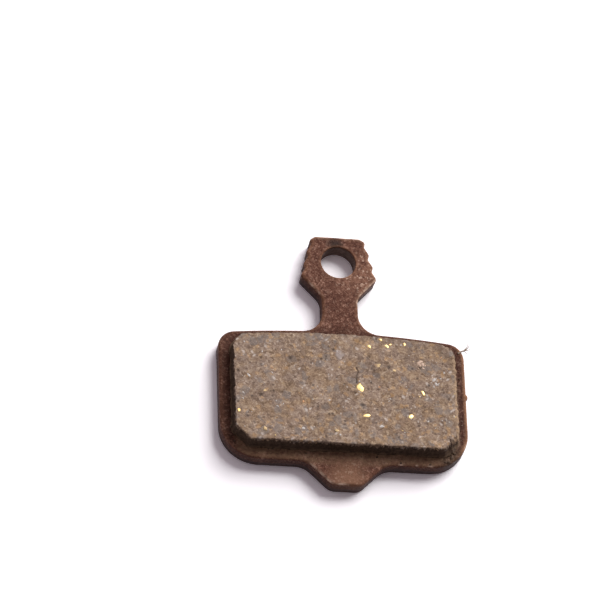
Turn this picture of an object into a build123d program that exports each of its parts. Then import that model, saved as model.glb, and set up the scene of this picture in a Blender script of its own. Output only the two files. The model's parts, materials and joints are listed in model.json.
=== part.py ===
from build123d import *
import math
import os

# A disc brake pad: a steel backing plate with a moulded block of friction compound bonded to it.
# Millimetres. X runs across the pad, Y from the body up to the ear, Z out through the friction face.
# The origin is on the axis of the pin hole, at the plate's back face.

# Backing plate: sheet and body
sheet_thickness = 2.0
plate_width = 29.5
body_top_drop = 9.46        # pin axis down to the middle of the crowned top edge
body_bottom_drop = 26.8     # pin axis down to the straight bottom edge
crown_radius = 120.0
top_corner_radius = 2.1
bottom_corner_radius = 4.6

# Backing plate: release tab at the bottom
tab_tip_width = 3.6
tab_root_width = 9.5
tab_depth = 2.95
tab_tip_radius = 1.5
tab_root_radius = 2.5

# Backing plate: ear, with its ratchet of teeth down both sides
pin_hole_diameter = 4.2
ear_top_rise = 3.45         # pin axis up to the ear's top edge
ear_top_width = 6.86        # across the highest pair of crests
ear_corner_run = 0.73       # slope from the top edge out to those crests
ear_corner_fall = 0.48      # and down to them
ear_corner_radius = 0.5     # where the slope leaves the top edge
ear_width = 9.3             # across the lowest pair of crests
ear_shoulder_drop = 2.03    # pin axis down to the lowest pair of crests
ear_shoulder_radius = 0.5
ear_flank_angle = 48.0      # underside of the ear, from the horizontal
tooth_count = 3
tooth_cut = 0.2             # depth of each valley behind the crest above it
tooth_step = 0.6            # drop of the short flank below each crest
tooth_radius = 0.4

# Backing plate: neck
neck_width = 4.32
neck_top_radius = 1.8
neck_root_radius = 2.6

# Backing plate: edges left by the blanking die
die_roll_radius = 0.3       # rounded edge on the front
hole_edge_radius = 0.15
back_edge_break = 0.1

# Friction block
block_thickness = 1.85
block_side_margin = 1.4
block_top_margin = 1.24
block_bottom_margin = 1.4
block_top_radius = 1.8
block_corner_cut = 1.8
block_draft = 3.0           # degrees, narrowing towards the friction face

plate_half = plate_width / 2
match_tolerance = 1e-4


def crown_drop(x, radius, middle_drop):
    """Depth below the pin axis of a crowned edge at x, on an arc that tops out at x = 0."""
    return middle_drop + radius - math.sqrt(radius**2 - x**2)


def tooth_line():
    """The right side of the ear: the end of its top edge, a crest and a valley for each tooth, and the shoulder."""
    top, shoulder = ear_top_width / 2, ear_width / 2
    first_crest = ear_top_rise - ear_corner_fall
    pitch = (first_crest + ear_shoulder_drop) / tooth_count
    lean = (shoulder - top) / tooth_count
    points = [(top - ear_corner_run, ear_top_rise)]
    for i in range(tooth_count):
        x, y = top + i * lean, first_crest - i * pitch
        points += [(x, y), (x - tooth_cut, y - tooth_step)]
    return points + [(shoulder, -ear_shoulder_drop)]


def round_corners(sketch, points, radius):
    """The sketch, facing +Z, with a radius at named corners of its right half and their mirror images."""
    wanted = [(side * x, y) for x, y in points for side in (1, -1)]
    corners = [
        vertex
        for vertex in sketch.vertices()
        if any(math.dist((vertex.X, vertex.Y), point) < match_tolerance for point in wanted)
    ]
    return make_face(fillet(corners, radius).edges())


def mirrored_face(lines):
    """A face from the edges of an outline's right half and their reflection in the Y axis."""
    half = Curve() + lines
    return make_face(half + mirror(half, Plane.YZ))


def plate_outline():
    """The blank's outline: ear, neck, crowned body and tab, with every corner rounded."""
    teeth = tooth_line()
    shoulder = teeth[-1]
    neck = neck_width / 2
    flank_drop = (shoulder[0] - neck) * math.tan(math.radians(ear_flank_angle))
    neck_top = (neck, shoulder[1] - flank_drop)
    neck_root = (neck, -crown_drop(neck, crown_radius, body_top_drop))
    top_corner = (plate_half, -crown_drop(plate_half, crown_radius, body_top_drop))
    bottom_corner = (plate_half, -body_bottom_drop)
    tab_root = (tab_root_width / 2, -body_bottom_drop)
    tab_tip = (tab_tip_width / 2, -body_bottom_drop - tab_depth)

    outline = mirrored_face(
        [
            Polyline((0, ear_top_rise), *teeth, neck_top, neck_root),
            RadiusArc(neck_root, top_corner, crown_radius),
            Polyline(top_corner, bottom_corner, tab_root, tab_tip, (0, tab_tip[1])),
        ]
    )
    outline = round_corners(outline, teeth[:1], ear_corner_radius)
    outline = round_corners(outline, teeth[1:-1], tooth_radius)
    outline = round_corners(outline, [shoulder], ear_shoulder_radius)
    outline = round_corners(outline, [neck_top], neck_top_radius)
    outline = round_corners(outline, [neck_root], neck_root_radius)
    outline = round_corners(outline, [top_corner], top_corner_radius)
    outline = round_corners(outline, [bottom_corner], bottom_corner_radius)
    outline = round_corners(outline, [tab_root], tab_root_radius)
    return round_corners(outline, [tab_tip], tab_tip_radius)


def backing_plate():
    """The blanked sheet: die roll round the front edge, a small break round the back, a punched hole."""
    blank = extrude(plate_outline(), sheet_thickness)
    blank = fillet(blank.faces().sort_by(Axis.Z)[-1].edges(), die_roll_radius)
    blank = chamfer(blank.faces().sort_by(Axis.Z)[0].edges(), back_edge_break)
    plate = blank - extrude(Circle(pin_hole_diameter / 2), sheet_thickness)
    rim = plate.edges().filter_by(GeomType.CIRCLE).filter_by(
        lambda edge: math.dist(edge.arc_center, (0, 0, sheet_thickness)) < match_tolerance
    )
    return fillet(rim, hole_edge_radius)


def friction_block():
    """The moulded block: it follows the body's edges at a set margin and stands on the plate's front."""
    half = plate_half - block_side_margin
    top_radius = crown_radius - block_top_margin
    top_drop = body_top_drop + block_top_margin
    bottom = -body_bottom_drop + block_bottom_margin
    top_middle = (0, -top_drop)
    top_corner = (half, -crown_drop(half, top_radius, top_drop))
    cut_start = (half, bottom + block_corner_cut)
    cut_end = (half - block_corner_cut, bottom)
    outline = mirrored_face(
        [
            RadiusArc(top_middle, top_corner, top_radius),
            Polyline(top_corner, cut_start, cut_end, (0, bottom)),
        ]
    )
    outline = round_corners(outline, [top_corner], block_top_radius)
    return extrude(Pos(Z=sheet_thickness) * outline, block_thickness, taper=block_draft)


os.makedirs("parts", exist_ok=True)
for node, solid in {"backing_plate": backing_plate(), "friction_block": friction_block()}.items():
    export_step(solid, f"parts/{node}.step")
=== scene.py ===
# %% [markdown]
# A bicycle disc brake pad.
# The pad is two pieces: a backing plate, blanked from 2 mm steel sheet and finished brown, and a block of
# friction compound moulded onto its front. The solids of both arrive as a fixed frame. This lesson gives each
# piece the surface that a maker would recognise: rolled and sheared edges on the plate, torn grains and metal
# chips in the compound. Every shape is worked out with numpy in millimetres and turned into metres when it
# becomes a mesh.

import itertools
import json
import math

import bpy
import numpy as np
from bpy_extras.mesh_utils import edge_loops_from_edges
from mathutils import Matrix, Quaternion, Vector
from mathutils.geometry import delaunay_2d_cdt


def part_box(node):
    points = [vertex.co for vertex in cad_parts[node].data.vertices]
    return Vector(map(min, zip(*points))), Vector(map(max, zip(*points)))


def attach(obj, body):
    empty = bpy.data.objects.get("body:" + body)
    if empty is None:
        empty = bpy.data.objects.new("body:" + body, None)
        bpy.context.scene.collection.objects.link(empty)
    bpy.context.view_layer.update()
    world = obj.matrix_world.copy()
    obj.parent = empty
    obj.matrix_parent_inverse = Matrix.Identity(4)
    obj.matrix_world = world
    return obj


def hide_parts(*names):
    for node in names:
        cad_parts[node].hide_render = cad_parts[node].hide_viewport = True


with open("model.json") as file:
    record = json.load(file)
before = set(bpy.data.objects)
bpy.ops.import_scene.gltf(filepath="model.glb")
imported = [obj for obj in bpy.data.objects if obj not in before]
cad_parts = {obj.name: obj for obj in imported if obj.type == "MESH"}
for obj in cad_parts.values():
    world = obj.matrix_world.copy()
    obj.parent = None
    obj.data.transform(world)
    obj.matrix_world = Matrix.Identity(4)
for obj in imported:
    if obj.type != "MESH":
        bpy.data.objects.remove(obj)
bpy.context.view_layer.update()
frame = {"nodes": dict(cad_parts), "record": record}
MM = 0.001
plate_low, plate_high = (np.array(corner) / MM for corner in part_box("backing_plate"))
block_low, block_high = (np.array(corner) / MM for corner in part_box("friction_block"))
SHEET_TOP = plate_high[2]
BASE_HEIGHT, FACE_TOP = block_low[2], block_high[2]
print("plate", plate_low.round(2), plate_high.round(2))
print("block", block_low.round(2), block_high.round(2))

# %% [markdown]
# The camera.
# A small object is photographed from about half a metre with a long lens, which keeps its edges nearly
# parallel. The camera could be placed by its coordinates, but an aim point with three angles and a distance is
# easier to read: the picture's middle, the way the lens looks over the ground, how far it looks down, and how
# far it is rolled.

# %% Camera
PICTURE_MIDDLE = Vector((-4.83, -5.51, 2.0))
LOOK_TURN = math.radians(19.11)  # from +Y towards +X
LOOK_DOWN = math.radians(58.90)
CAMERA_ROLL = math.radians(20.08)
CAMERA_DISTANCE = 505.5
LENS_LENGTH = 255.97
SENSOR_WIDTH = 36.0
CLIP_NEAR, CLIP_FAR = 0.01, 20.0  # in metres


def heading(turn, rise):
    """The unit direction at a turn from +Y towards +X and a rise above the ground."""
    direction = Vector((math.sin(turn), math.cos(turn), 0)) * math.cos(rise)
    direction.z = math.sin(rise)
    return direction


look = heading(LOOK_TURN, -LOOK_DOWN)
lens = bpy.data.cameras.new("camera")
lens.lens, lens.sensor_width = LENS_LENGTH, SENSOR_WIDTH
lens.clip_start, lens.clip_end = CLIP_NEAR, CLIP_FAR
camera = bpy.data.objects.new("camera", lens)
camera.location = (PICTURE_MIDDLE - look * CAMERA_DISTANCE) * MM
camera.rotation_mode = "QUATERNION"
camera.rotation_quaternion = look.to_track_quat("-Z", "Y") @ Quaternion((0, 0, 1), CAMERA_ROLL)
scene = bpy.context.scene
scene.collection.objects.link(camera)
scene.camera = camera
scene.view_settings.view_transform = "Standard"
print("camera at", [round(x, 3) for x in camera.location])

# %% [markdown]
# Nodes in few words.
# A material is a small graph. These helpers add one node at a time and take either a plain value or another
# node's output for each socket, so that a material reads from top to bottom like a recipe.

# %% Node helpers


def feed(tree, node, inputs):
    """Each named socket of a node gets a link from another node's output, or a plain value. A plain colour is
    written without its alpha, which is 1."""
    for label, value in inputs.items():
        socket = node.inputs[label]
        if isinstance(value, bpy.types.NodeSocket):
            tree.links.new(value, socket)
        else:
            socket.default_value = (*value, 1.0) if socket.type == "RGBA" else value


def add(tree, kind, inputs=None, **settings):
    """One node, with its own settings made and its sockets fed."""
    made = tree.nodes.new("ShaderNode" + kind)
    for label, value in settings.items():
        setattr(made, label, value)
    feed(tree, made, inputs or {})
    return made


def calc(tree, operation, first, second=0.0, limit=False):
    """The output of a Math node."""
    return add(tree, "Math", {0: first, 1: second}, operation=operation, use_clamp=limit).outputs[0]


def remap(tree, value, low, high, to_low=0.0, to_high=1.0):
    """Value from low to high, carried smoothly onto to_low to to_high and held there."""
    sockets = {"Value": value, "From Min": low, "From Max": high, "To Min": to_low, "To Max": to_high}
    return add(tree, "MapRange", sockets, interpolation_type="SMOOTHSTEP").outputs[0]


print("node helpers ready")

# %% [markdown]
# The table.
# The pad lies on a white table. The table could be lit until it is white, but then the pad would be too bright.
# Instead it is white by its own colour: the rays that look at it see it bright enough to meet the white world
# without a line, and it still keeps the pad's shadow, while the light that it throws back at the pad is a good
# deal weaker, as from a small table in a dark room.

# %% Table
TABLE_HALF = 3.0  # in metres
TABLE_GAP = 0.00002  # keeps the table just clear of the plate's back
TABLE_SEEN = (1.30, 1.28, 1.30)
TABLE_BOUNCE = (0.50, 0.47, 0.49)


def seen_rays(tree):
    """1 for the rays that look at the background: from the camera, by reflection or through glass."""
    path = add(tree, "LightPath").outputs
    seen = calc(tree, "MAXIMUM", path["Is Camera Ray"], path["Is Glossy Ray"])
    return calc(tree, "MAXIMUM", seen, path["Is Transmission Ray"])


def table_material():
    """White table: a diffuse surface, brighter to the rays that look at it than to the light it throws back."""
    material = bpy.data.materials.new("white_table")
    material.use_nodes = True
    tree = material.node_tree
    tree.nodes.remove(tree.nodes["Principled BSDF"])
    thrown, seen = (
        add(tree, "BsdfDiffuse", {"Color": colour}).outputs[0] for colour in (TABLE_BOUNCE, TABLE_SEEN))
    surface = add(tree, "MixShader", {0: seen_rays(tree), 1: thrown, 2: seen}).outputs[0]
    feed(tree, tree.nodes["Material Output"], {"Surface": surface})
    return material


table = bpy.data.meshes.new("table")
corners = [(-1, -1), (1, -1), (1, 1), (-1, 1)]
table.from_pydata([(x * TABLE_HALF, y * TABLE_HALF, -TABLE_GAP) for x, y in corners], [], [(0, 1, 2, 3)])
table.materials.append(table_material())
floor = bpy.data.objects.new("table", table)
scene.collection.objects.link(floor)
print("table", 2 * TABLE_HALF, "m square")

# %% [markdown]
# World and light.
# One broad soft light stands behind the pad and to the right. Light from behind shows every grain on the face
# and leaves the near walls dark. An area lamp would fade across the table, so it is a sun lamp with a wide
# disc, which lights the whole table evenly. A dim room fills the shadows, brightest from behind on the left.

# %% World and light
ROOM_COLOUR = (1.0, 0.88, 0.96)
ROOM_AXIS = (-0.35, 0.80, 0.48)  # the room is brightest this way
ROOM_SPAN = (-0.7, 0.9)  # of the cosine to that axis, from the dim side to the bright one
ROOM_DIM, ROOM_BRIGHT = 0.08, 0.40
WHITE = (1.0, 1.0, 1.0)
KEY_TURN = math.radians(39)  # from +Y towards +X
KEY_HEIGHT = math.radians(38.5)
KEY_DISC = math.radians(46)
KEY_STRENGTH = 3.8

world = bpy.data.worlds.new("studio")
world.use_nodes = True
scene.world = world
sky = world.node_tree
direction = add(sky, "TexCoord").outputs["Generated"]
cosine = add(sky, "VectorMath", {0: direction, 1: ROOM_AXIS}, operation="DOT_PRODUCT").outputs["Value"]
strength = remap(sky, cosine, *ROOM_SPAN, ROOM_DIM, ROOM_BRIGHT)
room = add(sky, "Background", {"Color": ROOM_COLOUR, "Strength": strength}).outputs[0]
backdrop = add(sky, "Background", {"Color": WHITE, "Strength": 1.0}).outputs[0]
both = add(sky, "MixShader", {0: seen_rays(sky), 1: room, 2: backdrop}).outputs[0]
feed(sky, sky.nodes["World Output"], {"Surface": both})

key_lamp = bpy.data.lights.new("key", "SUN")
key_lamp.energy, key_lamp.angle = KEY_STRENGTH, KEY_DISC
key = bpy.data.objects.new("key", key_lamp)
key.rotation_mode = "QUATERNION"
key.rotation_quaternion = heading(KEY_TURN, KEY_HEIGHT).to_track_quat("Z", "Y")
scene.collection.objects.link(key)
print("the key gives a level white surface", round(KEY_STRENGTH * math.sin(KEY_HEIGHT) / math.pi, 2))

# %% [markdown]
# Surfaces from arrays.
# A grid of points becomes a mesh by naming the four corners of each cell. All corners are computed at once by
# shifting the grid of point numbers, so there is no loop over points. Fields travel with the points, and
# materials read them later, which is how a torn grain gets painted shade exactly where it is deep.

# %% Mesh helpers


def grid_faces(rows, columns, start=0, closed=False):
    """Faces of a grid of points numbered row by row: each is a point, the next down, across from that, and back
    up. They face the viewer who sees the first axis and then the second turn counter-clockwise."""
    index = start + np.arange(rows * columns).reshape(rows, columns)
    across = np.roll(index, -1, axis=1)
    faces = np.stack([index[:-1], index[1:], across[1:], across[:-1]], axis=-1)
    return (faces if closed else faces[:, :-1]).reshape(-1, 4)


def make_piece(label, points, quads, triangles, material, slot, **fields):
    """A mesh object on the pad from points in millimetres, faces of four and three corners, and fields with a
    value for each point. Points that no face uses are left out."""
    used, corners = np.unique(np.concatenate([np.ravel(quads), np.ravel(triangles)]), return_inverse=True)
    sizes = np.repeat([4, 3], [len(quads), len(triangles)])
    mesh = bpy.data.meshes.new(label)
    mesh.vertices.add(len(used))
    mesh.vertices.foreach_set("co", (points[used] * MM).astype(np.float32).ravel())
    mesh.loops.add(len(corners))
    mesh.loops.foreach_set("vertex_index", corners.astype(np.int32))
    mesh.polygons.add(len(sizes))
    mesh.polygons.foreach_set("loop_start", (np.cumsum(sizes) - sizes).astype(np.int32))
    mesh.update(calc_edges=True)
    mended = mesh.validate()
    mesh.shade_smooth()
    for name, values in fields.items():
        attribute = mesh.attributes.new(name, "FLOAT", "POINT")
        attribute.data.foreach_set("value", values[used].astype(np.float32))
    mesh.materials.append(material)
    piece = bpy.data.objects.new(label, mesh)
    scene.collection.objects.link(piece)
    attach(piece, "root")
    triangle_count = 2 * len(quads) + len(triangles)
    print(label, len(used), "points", triangle_count, "triangles", "mended" if mended else "")
    return piece


print("a grid of 3 by 4 points has", len(grid_faces(3, 4)), "faces")

# %% [markdown]
# Randomness that repeats.
# Grains, pits and chipped edges need noise, and the same noise each time. Random numbers tied to a lattice do
# that: the whole-number cell that a point falls in is scrambled into a value, and values are blended between
# cells. Two straight fades go with the noise, for wear that starts in one place and ends in another.

# %% Noise helpers
AXIS_PRIMES = np.array([73856093, 19349663, 83492791], np.uint32)
SEED_STEP = 2654435
FIRST_MULTIPLIER, SECOND_MULTIPLIER = np.uint32(2246822519), np.uint32(3266489917)
FIRST_SHIFT, SECOND_SHIFT = np.uint32(13), np.uint32(16)
LOW_BITS = 0xFFFF


def cell_value(cells, seed):
    """A repeatable value from 0 to 1 for each whole-number cell: the sum of its coordinates times large primes,
    multiplied twice and mixed with shifted copies of itself, of which the low bits are kept."""
    mixed = (cells.astype(np.uint32) * AXIS_PRIMES[: cells.shape[-1]]).sum(-1, dtype=np.uint32)
    mixed = (mixed + np.uint32(seed * SEED_STEP)) * FIRST_MULTIPLIER
    mixed = (mixed ^ (mixed >> FIRST_SHIFT)) * SECOND_MULTIPLIER
    return ((mixed ^ (mixed >> SECOND_SHIFT)) & np.uint32(LOW_BITS)) / LOW_BITS


def smooth_noise(points, size, seed):
    """Noise from -1 to 1: the values of a lattice with this cell size, blended smoothly along every axis."""
    scaled = points / size
    cell = np.floor(scaled)
    part = scaled - cell
    weight = part * part * (3 - 2 * part)
    total = np.zeros(len(points))
    for step in itertools.product((0, 1), repeat=points.shape[1]):
        share = np.prod(np.where(step, weight, 1 - weight), axis=1)
        total += share * cell_value((cell + step).astype(np.int64), seed)
    return 2 * total - 1


def line_noise(travel, size, seed):
    """Smooth noise along a line: the noise of a plane, read along its first axis."""
    return smooth_noise(np.stack([travel, 0 * travel], axis=1), size, seed)


sample = line_noise(np.arange(999) / 7, size=1.0, seed=5)
print("noise from", sample.min().round(2), "to", sample.max().round(2))

# %% Grains and fades


def nearest_grain(points, size, seed):
    """For points of a plane: the distance to the nearest grain centre, in grain sizes, and that grain's value.
    Each square cell holds one centre at a random place, and the nine cells around a point are searched."""
    scaled = points / size
    cell = np.floor(scaled)
    best = np.full(len(points), np.inf)
    value = np.zeros(len(points))
    for step in itertools.product((-1, 0, 1), repeat=2):
        near = (cell + step).astype(np.int64)
        centre = near + np.stack([cell_value(near, seed), cell_value(near, seed + 1)], axis=1)
        gap = np.linalg.norm(scaled - centre, axis=1)
        closer = gap < best
        best = np.where(closer, gap, best)
        value = np.where(closer, cell_value(near, seed + 2), value)
    return best, value


def rising(value, start, run):
    """0 at the start and 1 a run further on, straight between and held beyond. With a run below 0, the smaller
    values are the ones past the start."""
    return np.clip((value - start) / run, 0, 1)


def fading(gap, reach, power=1):
    """1 at no gap and 0 from the reach on: one less a power of the gap's share of the reach."""
    return np.clip(1 - (gap / reach) ** power, 0, 1)


print("a fade with a reach of 2, at 0, 1, 2 and 3:", fading(np.arange(4), 2))

# %% [markdown]
# Outlines from the frame.
# The plate's outline has many arcs. It could be written again here, but the solid already has it, so it is
# read from the frame: the edges of the walls that lie at one height form a closed loop. The solid's arcs are
# short straight facets, so the loop is resampled at an even spacing and smoothed. A heavy smoothing is used
# where it moves the path by no more than a facet's error, and a light one on the small teeth, which it would
# otherwise wear away.

# %% Outline from a solid
DIE_ROLL = 0.3
LEVEL_TOLERANCE = 0.002
PLACE_DECIMALS = 4


def read_array(items, label, kind, width):
    """One property of every vertex, edge or face of a mesh as an array with this many columns."""
    values = np.empty(len(items) * width, kind)
    items.foreach_get(label, values)
    return values.reshape(-1, width)


def outline_at(node, level):
    """The closed loop, counter-clockwise, that a node's walls draw at a height: the edges of its wall triangles
    with both ends at that height, put in order."""
    mesh = frame["nodes"][node].data
    points = read_array(mesh.vertices, "co", np.float32, 3) / MM
    triangles = read_array(mesh.loops, "vertex_index", np.int32, 1).reshape(-1, 3)
    level_here = np.abs(points[:, 2] - level) < LEVEL_TOLERANCE
    walls = triangles[~level_here[triangles].all(1)]
    edges = np.concatenate([walls[:, [0, 1]], walls[:, [1, 2]], walls[:, [2, 0]]])
    edges = points[edges[level_here[edges].all(1)].ravel(), :2].round(PLACE_DECIMALS)
    places, numbers = np.unique(edges, axis=0, return_inverse=True)
    pairs = np.unique(np.sort(numbers.reshape(-1, 2), axis=1), axis=0)
    wire = bpy.data.meshes.new("wire")
    wire.from_pydata(np.insert(places, 2, 0, axis=1).tolist(), pairs.tolist(), [])
    loop = places[max(edge_loops_from_edges(wire), key=len)[:-1]]
    bpy.data.meshes.remove(wire)
    ahead = np.roll(loop, -1, axis=0)
    area = (loop[:, 0] * ahead[:, 1] - loop[:, 1] * ahead[:, 0]).sum()
    return loop if area > 0 else loop[::-1]


plate_loop = outline_at("backing_plate", SHEET_TOP - DIE_ROLL)
foot_loop, edge_loop = (outline_at("friction_block", level) for level in (BASE_HEIGHT, FACE_TOP))
print("facets round the plate", len(plate_loop), "and round the block", len(foot_loop))

# %% Even, smooth paths
FACET_ERROR = 0.02
LIGHT_SMOOTHING, HEAVY_SMOOTHING = 0.06, 0.35
SMOOTHING_REACH = 4  # in widths of the heavy smoothing
RIM_SPACING = 0.068


def travelled(path):
    """Distance along a path at each of its points."""
    return np.insert(np.cumsum(np.linalg.norm(np.diff(path, axis=0), axis=1)), 0, 0)


def stepped(path, count, endpoint=True):
    """A path in this many even steps: its x and y, read off at equal distances along it."""
    along = travelled(path)
    at = np.linspace(0, along[-1], count, endpoint=endpoint)
    return np.stack([np.interp(at, along, axis) for axis in path.T], axis=1)


def faded(values, spacing, width):
    """Values along a closed path, blurred by a bell curve of this width: their short waves are faded."""
    waves = np.fft.fftfreq(len(values), spacing)[:, None]
    kept = np.exp(-2 * (math.pi * waves * width) ** 2)
    return np.fft.ifft(np.fft.fft(values, axis=0) * kept, axis=0).real


def even_path(loop, spacing):
    """A closed path at an even spacing, smoothed heavily where that moves no part of the path nearby by more than
    a facet's error, and lightly elsewhere."""
    ring = np.vstack([loop, loop[:1]])
    even = stepped(ring, round(travelled(ring)[-1] / spacing), endpoint=False)
    light, heavy = (faded(even, spacing, width) for width in (LIGHT_SMOOTHING, HEAVY_SMOOTHING))
    moved = np.linalg.norm(heavy - light, axis=1)
    reach = round(SMOOTHING_REACH * HEAVY_SMOOTHING / spacing)
    nearby = np.max([np.roll(moved, shift) for shift in range(-reach, reach + 1)], axis=0)
    share = faded((nearby < FACET_ERROR)[:, None].astype(float), spacing, HEAVY_SMOOTHING)
    return light + share * (heavy - light)


rim_path, block_base, block_edge = (
    even_path(loop, RIM_SPACING) for loop in (plate_loop, foot_loop, edge_loop))
print("plate outline", len(rim_path), "points; block base", len(block_base), "points")

# %% [markdown]
# Measuring and filling.
# A profile is carried along a path by its normals, wear depends on distances to a path, and a flat face is
# filled between its loops. Blender's own constrained triangulation fills it, because a face with a hole has no
# grid of its own.

# %% Path helpers
DISTANCE_BLOCK = 4_000_000  # distances worked out at a time
FILL_INSIDE, FILL_TOLERANCE = 1, 1e-7  # the triangles inside the loops are kept


def outward(path):
    """Unit normals of a counter-clockwise path: the step from the point before to the one after, turned right."""
    step = np.roll(path, -1, axis=0) - np.roll(path, 1, axis=0)
    normal = np.stack([step[:, 1], -step[:, 0]], axis=1)
    return normal / np.linalg.norm(normal, axis=1, keepdims=True)


def distance_to(points, path):
    """Distance from each point to the nearest point of a path, a block of points at a time to spare memory."""
    blocks = np.array_split(points, 1 + len(points) * len(path) // DISTANCE_BLOCK)
    return np.concatenate([np.sqrt(((block[:, None] - path) ** 2).sum(-1).min(1)) for block in blocks])


def fill(loops, inner):
    """Triangles between closed loops of points and around loose inner points. Each loop's points are joined, each
    to the next, by edges that the triangulation has to keep."""
    starts = np.cumsum([0] + [len(loop) for loop in loops])
    numbers = [np.arange(start, end) for start, end in itertools.pairwise(starts)]
    edges = np.concatenate([np.stack([number, np.roll(number, -1)], axis=1) for number in numbers])
    points = np.concatenate([*loops, inner]).tolist()
    return np.array(delaunay_2d_cdt(points, edges.tolist(), [], FILL_INSIDE, FILL_TOLERANCE)[2])


rim_normal = outward(rim_path)
print("the outline encloses", len(fill([rim_path], np.empty((0, 2)))), "triangles")

# %% [markdown]
# Masks and colours.
# A finish is built in layers, as paint is. A mask, which is a value from 0 to 1 at each point, says where a layer
# lies, and its colour is mixed over what is under it. Masks could be pictures, but as values they can be
# multiplied, added up and turned round, and the fields of a mesh come in as masks too.

# %% Masks and colours


def times(tree, product, *factors):
    """The product of values, with one Math node for each factor after the first."""
    for factor in factors:
        product = calc(tree, "MULTIPLY", product, factor)
    return product


def weighed(tree, *parts):
    """The sum of values, each times its share."""
    total = 0.0
    for value, share in parts:
        total = calc(tree, "ADD", total, times(tree, value, share))
    return total


def rest(tree, share):
    """One less a share."""
    return calc(tree, "SUBTRACT", 1.0, share)


def mix(tree, share, under, over, kind="MIX"):
    """The colour between two colours: under where share is 0, over where it is 1."""
    sockets = {0: share, 6: under, 7: over}
    return add(tree, "Mix", sockets, data_type="RGBA", blend_type=kind).outputs[2]


def ramp(tree, value, stops):
    """A colour for each value, from a list of (value, colour) stops."""
    made = add(tree, "ValToRGB", {"Fac": value})
    elements = made.color_ramp.elements
    while len(elements) < len(stops):
        elements.new(0.5)
    for element, (place, colour) in zip(elements, stops):
        element.position = place
        element.color = (*colour, 1.0)
    return made.outputs["Color"]


def field(tree, label):
    """The value of one of the mesh's own fields."""
    return add(tree, "Attribute", attribute_name=label, attribute_type="GEOMETRY").outputs["Fac"]


def start_material(label):
    """A new material, its node tree, its Principled shader and the piece's own coordinates, in metres."""
    material = bpy.data.materials.new(label)
    material.use_nodes = True
    tree = material.node_tree
    return material, tree, tree.nodes["Principled BSDF"], add(tree, "TexCoord").outputs["Object"]


print("mask and colour helpers ready")

# %% [markdown]
# Shared effects for the finishes.
# Three effects turn up in more than one finish. Grains are cells with a value of their own and dark gaps
# between them. Specks are small dots scattered in a share of the cells. Mottle is a soft cloud with its
# contrast turned up. Each could be drawn again in every material, but as a node group it is built once and
# gives out only masks and values. The shaders stay in the materials.

# %% Node groups
GAP_WIDTH = 0.14  # share of a grain
SPECK_INSIDE, SPECK_OUTSIDE = -0.10, 0.09
CLOUD_DETAIL, CLOUD_ROUGHNESS = 4.0, 0.6


def start_group(label, inputs, outputs):
    """A shader node group: its tree, the sockets that bring its inputs in, and the node that takes its outputs.
    Place is a vector, and every other socket is a value."""
    tree = bpy.data.node_groups.new(label, "ShaderNodeTree")
    for way, names in (("INPUT", inputs), ("OUTPUT", outputs)):
        for name in names:
            kind = "NodeSocketVector" if name == "Place" else "NodeSocketFloat"
            tree.interface.new_socket(name, in_out=way, socket_type=kind)
    return tree, tree.nodes.new("NodeGroupInput").outputs, tree.nodes.new("NodeGroupOutput")


def pattern(tree, given, kind, inputs=None, **settings):
    """Outputs of a texture node at the group's own place and size."""
    sockets = {"Vector": given["Place"], "Scale": calc(tree, "DIVIDE", 1.0, given["Size"])}
    return add(tree, kind, sockets | (inputs or {}), **settings).outputs


def grains_group():
    """Cells of one size: a value for each cell, and how near a point is to the gap between two cells."""
    tree, given, end = start_group("grains", ("Place", "Size"), ("Tone", "Gap"))
    cells = pattern(tree, given, "TexVoronoi")
    borders = pattern(tree, given, "TexVoronoi", feature="DISTANCE_TO_EDGE")
    tone = add(tree, "SeparateColor", {"Color": cells["Color"]}).outputs[0]
    feed(tree, end, {"Tone": tone, "Gap": remap(tree, borders["Distance"], 0.0, GAP_WIDTH, 1.0, 0.0)})
    return tree


def specks_group():
    """Dots of one radius, given as a share of the cell, in a share of the cells of one size."""
    tree, given, end = start_group("specks", ("Place", "Size", "Radius", "Share"), ("Mask",))
    cells = pattern(tree, given, "TexVoronoi")
    value = add(tree, "SeparateColor", {"Color": cells["Color"]}).outputs[1]
    chosen = calc(tree, "LESS_THAN", value, given["Share"])
    past_edge = calc(tree, "SUBTRACT", cells["Distance"], given["Radius"])
    dot = remap(tree, past_edge, SPECK_INSIDE, SPECK_OUTSIDE, 1.0, 0.0)
    feed(tree, end, {"Mask": times(tree, dot, chosen)})
    return tree


def mottle_group():
    """A soft cloud of one size, from 0 to 1, with its contrast set by the width of its middle band."""
    tree, given, end = start_group("mottle", ("Place", "Size", "Band"), ("Mask",))
    detail = {"Detail": CLOUD_DETAIL, "Roughness": CLOUD_ROUGHNESS}
    cloud = pattern(tree, given, "TexNoise", detail)["Fac"]
    low, high = (calc(tree, way, 0.5, given["Band"]) for way in ("SUBTRACT", "ADD"))
    feed(tree, end, {"Mask": remap(tree, cloud, low, high)})
    return tree


GRAINS, SPECKS, MOTTLE = grains_group(), specks_group(), mottle_group()
print("node groups", [group.name for group in bpy.data.node_groups])

# %% [markdown]
# The groups in use.
# Sizes are easier to picture in millimetres, so each group gets a helper that takes them. The other helpers
# here join a group to one more step: pushed coordinates make round dots uneven, patches fade by clouds, and a
# spot is a round patch about one place.

# %% Effects
WARP_DETAIL = 2.0
BUMP_DISTANCE = 0.025


def grains(tree, place, size):
    """Tone and gap outputs of the grains group at a size in millimetres."""
    return add(tree, "Group", {"Place": place, "Size": size * MM}, node_tree=GRAINS).outputs


def specks(tree, place, size, radius, share):
    """Mask of the specks group at a cell size in millimetres."""
    sockets = {"Place": place, "Size": size * MM, "Radius": radius, "Share": share}
    return add(tree, "Group", sockets, node_tree=SPECKS).outputs["Mask"]


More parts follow.
